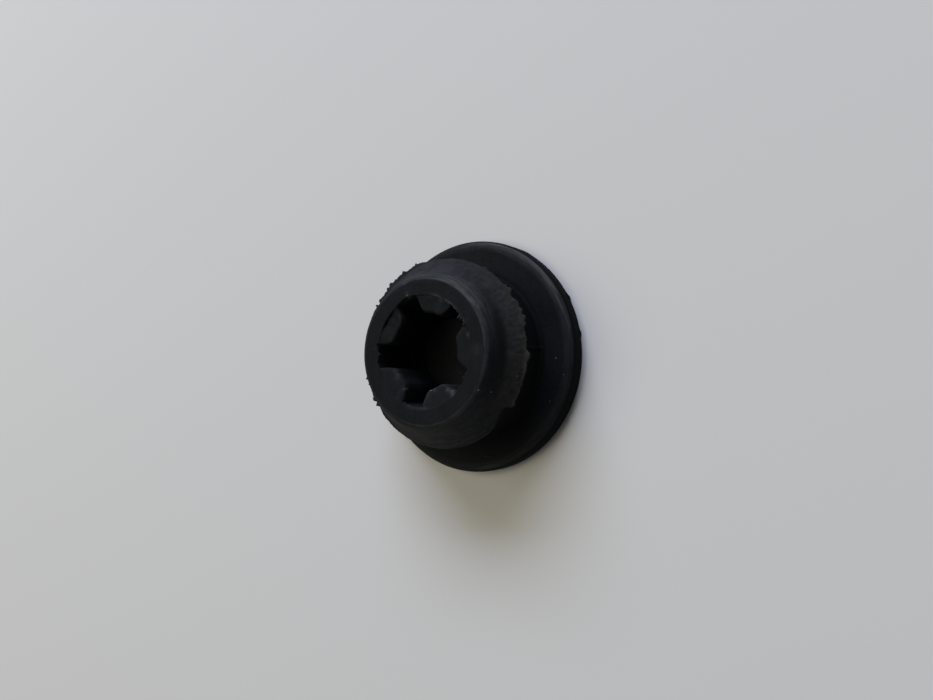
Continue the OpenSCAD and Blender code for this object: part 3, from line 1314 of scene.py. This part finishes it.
    def rib_share(self, lathe: Lathe) -> Value:
        """How far a place round the socket is into a rib.

        Args:
            lathe: the grid.

        Returns:
            1 on a rib's back and 0 between ribs, with round shoulders.
        """
        pitch = (lathe.input("Rib count") / TAU).power(-1.0)
        bent = lathe.turn + lathe.rough(self.rib_bend)
        off = (bent - lathe.input("Rib turn") + pitch / 2.0 + TAU).maths("FLOORED_MODULO", pitch)
        off = (off - pitch / 2.0).size() / lathe.input("Rib half angle")
        return (1.0 - off.at_most(1.0).maths("POWER", lathe.input("Rib squareness"))).clamped()

    def rubbed_and_glint_share(self, lathe: Lathe, radius: Value, height: Value) -> Value:
        """How pale a spot near the mouth makes a place, partly as rubbed rubber and partly as painted
        glints on lit rib edges.

        Args:
            lathe: the grid.
            radius: the place's distance from the axis.
            height: its height.

        Returns:
            0 away from the spots, up to 1.
        """
        x, y = radius * lathe.cosine, radius * lathe.sine
        total = x * 0.0
        for patch in self.rubbed_and_glinting:
            turn = math.radians(patch.angle)
            across = (x - patch.distance * math.cos(turn)) / patch.size
            along = (y - patch.distance * math.sin(turn)) / patch.size
            total = total.at_least((across * across + along * along).power(0.5).bell() * patch.share)
        return total * (height / MM).between(*self.mouth_band)

    def flash_share(self, lathe: Lathe) -> Value:
        """How far the torn flash stands out, round the lip.

        Args:
            lathe: the grid.

        Returns:
            The share of the flash's full reach.
        """
        ragged = lathe.peaks(self.nibs) * lathe.frayed(self.teeth) + lathe.frayed(self.fringe)
        return ragged.clamped() + (ragged - 1.0).at_least(0.0) * self.overshoot

    def torn_side(self, lathe: Lathe) -> Value:
        """Returns 1 on the side of the head where the flash tore and 0 on the clean side."""
        degrees = lathe.turn / DEGREE
        return degrees.between(*self.tear_start) * degrees.between(*self.tear_end)

    def chip_share(self, lathe: Lathe) -> Value:
        """How deep the chip in the lip is.

        Args:
            lathe: the grid.

        Returns:
            1 at the chip's middle and 0 away from it.
        """
        off = lathe.turn - self.chip_turn % TAU
        steep = (off / self.chip_steep).between(*self.chip_steep_fade)
        gentle = (off / self.chip_gentle).between(*self.chip_gentle_fade)
        return steep * gentle * (self.chip_least + lathe.rough(self.chip_rough))


# ---------------------------------------------------------------------------
# Dust
# ---------------------------------------------------------------------------


@dataclass(frozen=True)
class Speck:
    """A speck of dust: its distance from the axis, its angle in degrees and its size."""

    distance: float
    angle: float
    size: float


@dataclass
class Dust:
    """Lint and grit that lies on the rubber."""

    specks: tuple[Speck, ...] = (
        Speck(16.04 * MM, -87.4, 0.21 * MM), Speck(17.6 * MM, -95.4, 0.17 * MM),
        Speck(16.64 * MM, -110.6, 0.15 * MM), Speck(14.3 * MM, -99.6, 0.20 * MM),
        Speck(12.48 * MM, -113.3, 0.20 * MM), Speck(11.43 * MM, -114.7, 0.22 * MM),
        Speck(13.3 * MM, -144.4, 0.14 * MM), Speck(9.11 * MM, 24.0, 0.17 * MM),
        Speck(11.0 * MM, 24.2, 0.13 * MM), Speck(0.3 * MM, 54.8, 0.15 * MM),
        Speck(3.12 * MM, -156.7, 0.14 * MM), Speck(2.9 * MM, 99.2, 0.11 * MM),
        Speck(1.8 * MM, 120, 0.09 * MM), Speck(2.2 * MM, 70, 0.08 * MM),
        Speck(6.0 * MM, -160.5, 0.22 * MM), Speck(6.5 * MM, 154, 0.2 * MM),
        Speck(8.1 * MM, -131, 0.16 * MM),
    )
    scattered: int = 150
    finest: float = 0.03 * MM
    coarsest: float = 0.085 * MM
    fineness: int = 3
    reach_share: float = 0.485
    drop_height: float = 1.0
    stretch: tuple[float, float] = (0.6, 1.7)
    flatness: float = 0.4
    seed: int = 11

    def places(self, carrier: bpy.types.Object) -> tuple[list[Vector], list[float]]:
        """Finds where each speck lies by dropping it onto the rubber.

        Args:
            carrier: the moulding.

        Returns:
            The points on the surface and the size of the speck at each.
        """
        surface = BVHTree.FromObject(carrier, bpy.context.evaluated_depsgraph_get())
        random = np.random.default_rng(self.seed)
        wanted = [(s.distance, math.radians(s.angle), s.size) for s in self.specks]
        reach = carrier.dimensions.x * self.reach_share
        for _ in range(self.scattered):
            distance, turn = reach * math.sqrt(random.random()), TAU * random.random()
            size = self.finest + (self.coarsest - self.finest) * random.random() ** self.fineness
            wanted.append((distance, turn, size))
        points, sizes = [], []
        for distance, turn, size in wanted:
            above = Vector((distance * math.cos(turn), distance * math.sin(turn), self.drop_height))
            hit, _, _, _ = surface.ray_cast(above, Vector((0, 0, -1)))
            if hit is not None:
                points.append(hit)
                sizes.append(size)
        return points, sizes

    def build(self, carrier: bpy.types.Object, finish: bpy.types.Material) -> bpy.types.Object:
        """Puts a small turned grain at each place.

        Args:
            carrier: the moulding.
            finish: the dust's material.

        Returns:
            All the specks as one mesh.
        """
        points, sizes = self.places(carrier)
        start = bpy.data.meshes.new("dust_places")
        start.from_pydata([tuple(p) for p in points], [], [])
        layer = start.attributes.new("size", "FLOAT", "POINT")
        layer.data.foreach_set("value", sizes)
        recipe = GeometryRecipe("dust", {"Seed": self.seed, "Finish": finish})
        make = recipe.maker
        grain = make.node("GeometryNodeMeshIcoSphere", {}, {"Radius": 0.5, "Subdivisions": 1})
        size = make.node("GeometryNodeInputNamedAttribute", {"data_type": "FLOAT"}, {"Name": "size"})
        long, turned = (
            make.node(
                "FunctionNodeRandomValue", {"data_type": "FLOAT"},
                {"Min": low, "Max": high, "Seed": recipe.input("Seed")}, output=1,
            )
            for low, high in (self.stretch, (0.0, TAU))
        )
        copies = make.node("GeometryNodeInstanceOnPoints", {}, {
            "Points": recipe.input("Geometry"),
            "Instance": grain,
            "Rotation": make.vector(0.0, 0.0, turned),
            "Scale": make.vector(size * long, size / long, size * self.flatness),
        })
        recipe.close(copies)
        return recipe.run(start)


# ---------------------------------------------------------------------------
# Camera, floor and light
# ---------------------------------------------------------------------------


@dataclass(frozen=True)
class Lamp:
    """A large soft lamp that faces the object: where it hangs, its sides and its light.

    The azimuth and elevation are in degrees and the power is in watts.
    """

    name: str
    azimuth: float
    elevation: float
    distance: float
    sides: tuple[float, float]
    power: float
    colour: Triple

    def hang(self) -> None:
        """Hangs the lamp."""
        data = bpy.data.lights.new(self.name, "AREA")
        data.shape = "RECTANGLE"
        data.size, data.size_y = self.sides
        data.energy = self.power
        data.color = self.colour
        turn, rise = self.azimuth * DEGREE, self.elevation * DEGREE
        level = math.cos(rise)
        towards = Vector((math.cos(turn) * level, math.sin(turn) * level, math.sin(rise)))
        lamp = bpy.data.objects.new(self.name, data)
        aim = (-towards).to_track_quat("-Z", "Y")
        lamp.matrix_world = Matrix.Translation(towards * self.distance) @ aim.to_matrix().to_4x4()
        bpy.context.scene.collection.objects.link(lamp)


@dataclass
class Studio:
    """The camera's place, the floor and the soft lamps."""

    distance: float = 120.5 * MM
    elevation: float = math.radians(57.1)
    roll: float = math.radians(4.8)
    pan: float = math.radians(0.9)
    tilt: float = math.radians(-0.5)
    focal_pixels: float = 720.0
    frame_pixels: float = 933.0
    sensor: float = 36.0
    nearest: float = 0.005
    floor_size: float = 3.0
    floor_drop: float = 0.02 * MM
    lamps: tuple[Lamp, ...] = (
        Lamp("window", 12, 32, 1.5, (1.3, 0.55), 29.2, (0.755, 0.82, 1.0)),
        Lamp("side_lamp", 85, 57, 1.5, (1.2, 1.0), 11.2, (1.0, 0.92, 0.70)),
    )
    room_colour: Colour = (1.0, 0.98, 0.94, 1.0)
    room_strength: float = 0.10
    backdrop_colour: Colour = (1.0, 1.0, 1.0, 1.0)
    backdrop_strength: float = 0.55

    def camera(self) -> None:
        """Sets the camera: it looks down from -Y, with +X at the top of its frame."""
        place = Vector((0, -math.cos(self.elevation), math.sin(self.elevation))) * self.distance
        forward = -place.normalized()
        across = Vector((1, 0, 0))
        upward = across.cross(forward)
        right = math.cos(self.roll) * -upward + math.sin(self.roll) * across
        top = math.sin(self.roll) * upward + math.cos(self.roll) * across
        side = math.cos(self.pan) * right + math.sin(self.pan) * forward
        ahead = -math.sin(self.pan) * right + math.cos(self.pan) * forward
        head = math.cos(self.tilt) * top + math.sin(self.tilt) * ahead
        ahead = -math.sin(self.tilt) * top + math.cos(self.tilt) * ahead
        data = bpy.data.cameras.new("camera")
        data.sensor_width = self.sensor
        data.lens = self.focal_pixels / self.frame_pixels * self.sensor
        data.clip_start = self.nearest
        camera = bpy.data.objects.new("camera", data)
        turned = Matrix((side, head, -ahead)).transposed().to_4x4()
        camera.matrix_world = Matrix.Translation(place) @ turned
        bpy.context.scene.collection.objects.link(camera)
        bpy.context.scene.camera = camera

    def floor(self) -> None:
        """Lays the plain floor."""
        half = self.floor_size / 2
        mesh = bpy.data.meshes.new("floor")
        plan = [(-half, -half), (half, -half), (half, half), (-half, half)]
        mesh.from_pydata([(x, y, -self.floor_drop) for x, y in plan], [], [(0, 1, 2, 3)])
        mesh.materials.append(PaperFinish().build())
        floor = bpy.data.objects.new("floor", mesh)
        bpy.context.scene.collection.objects.link(floor)

    def light(self) -> None:
        """Hangs the lamps and sets the even light around them."""
        for lamp in self.lamps:
            lamp.hang()
        world = bpy.data.worlds.new("room")
        world.use_nodes = True
        maker = NodeMaker(world.node_tree)
        even = world.node_tree.nodes["Background"]
        even.inputs["Color"].default_value = self.room_colour
        even.inputs["Strength"].default_value = self.room_strength
        backdrop = maker.node("ShaderNodeBackground", {}, {
            "Color": self.backdrop_colour, "Strength": self.backdrop_strength,
        })
        path = maker.node("ShaderNodeLightPath", output="Is Camera Ray")
        outputs = path.socket.node.outputs
        glossy = Value(maker, outputs["Is Glossy Ray"])
        through = Value(maker, outputs["Is Transmission Ray"])
        seen = path.at_least(glossy).at_least(through)
        mixed = maker.node(
            "ShaderNodeMixShader", {}, {0: seen, 1: Value(maker, even.outputs[0]), 2: backdrop}
        )
        surface = world.node_tree.nodes["World Output"].inputs["Surface"]
        world.node_tree.links.new(mixed.socket, surface)
        bpy.context.scene.world = world
        bpy.context.scene.view_settings.view_transform = "Standard"


def main() -> None:
    """Builds the cushion, its dust, the floor, the camera and the lamps, in that order."""
    logging.basicConfig(level=logging.INFO, format="%(name)s: %(message)s")
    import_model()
    low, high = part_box("mount_cushion")

    studio = Studio()
    studio.camera()

    rubber = RubberFinish().build()
    moulding = Moulding(flange_r=(high.y - low.y) / 2, full_height=high.z - low.z).build(rubber)
    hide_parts("mount_cushion")
    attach(moulding, "root")
    LOG.info("moulding: %d faces", len(moulding.data.polygons))

    dust = Dust().build(moulding, DustFinish().build())
    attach(dust, "root")
    LOG.info("dust: %d faces", len(dust.data.polygons))

    studio.floor()
    studio.light()


if __name__ == "__main__":
    main()
